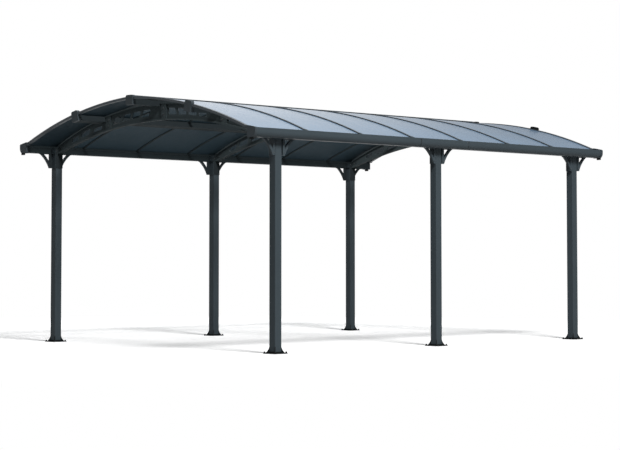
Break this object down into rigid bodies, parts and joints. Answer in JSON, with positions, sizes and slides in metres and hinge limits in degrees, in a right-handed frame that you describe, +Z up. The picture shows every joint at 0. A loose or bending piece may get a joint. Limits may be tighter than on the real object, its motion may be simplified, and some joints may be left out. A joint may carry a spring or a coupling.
{
  "type": "gazebo",
  "caption": "Open-sided gazebo or carport shelter with an arched sheet roof on an anthracite aluminium frame with square posts",
  "frame": {"origin": "bottom centre of the bounding box: ground level, middle of the footprint", "axes": "+X along the length towards the rear end, +Y towards the left side, +Z up"},
  "size_m": [5.04, 3.6, 2.42],
  "materials": {
    "frame": "satin",
    "fittings": "matte",
    "shoes": "matte",
    "roof_sheet": "gloss"
  },
  "bodies": {
    "root": {"post_right_front": "frame", "post_right_middle": "frame", "post_right_rear": "frame", "post_left_front": "frame", "post_left_middle": "frame", "post_left_rear": "frame", "post_head_right_front": "frame", "post_head_right_middle": "frame", "post_head_right_rear": "frame", "post_head_left_front": "frame", "post_head_left_middle": "frame", "post_head_left_rear": "frame", "gutter_right": "frame", "gutter_left": "frame", "gutter_joint_cover_right": "frame", "gutter_joint_cover_left": "frame", "truss_front": "frame", "truss_middle": "frame", "truss_rear": "frame", "purlin_left": "frame", "purlin_ridge": "frame", "purlin_right": "frame", "edge_profile_front": "frame", "edge_profile_rear": "frame", "joint_profiles": "frame", "ridge_strip": "frame", "gutter_end_cap_right_front": "fittings", "gutter_end_cap_right_rear": "fittings", "gutter_end_cap_left_front": "fittings", "gutter_end_cap_left_rear": "fittings", "purlin_caps_front": "fittings", "purlin_caps_rear": "fittings", "post_shoe_right_front": "shoes", "post_shoe_right_middle": "shoes", "post_shoe_right_rear": "shoes", "post_shoe_left_front": "shoes", "post_shoe_left_middle": "shoes", "post_shoe_left_rear": "shoes", "roof_sheet_1": "roof_sheet", "roof_sheet_2": "roof_sheet", "roof_sheet_3": "roof_sheet", "roof_sheet_4": "roof_sheet", "roof_sheet_5": "roof_sheet", "roof_sheet_6": "roof_sheet", "roof_sheet_7": "roof_sheet"}
  },
  "joints": []
}
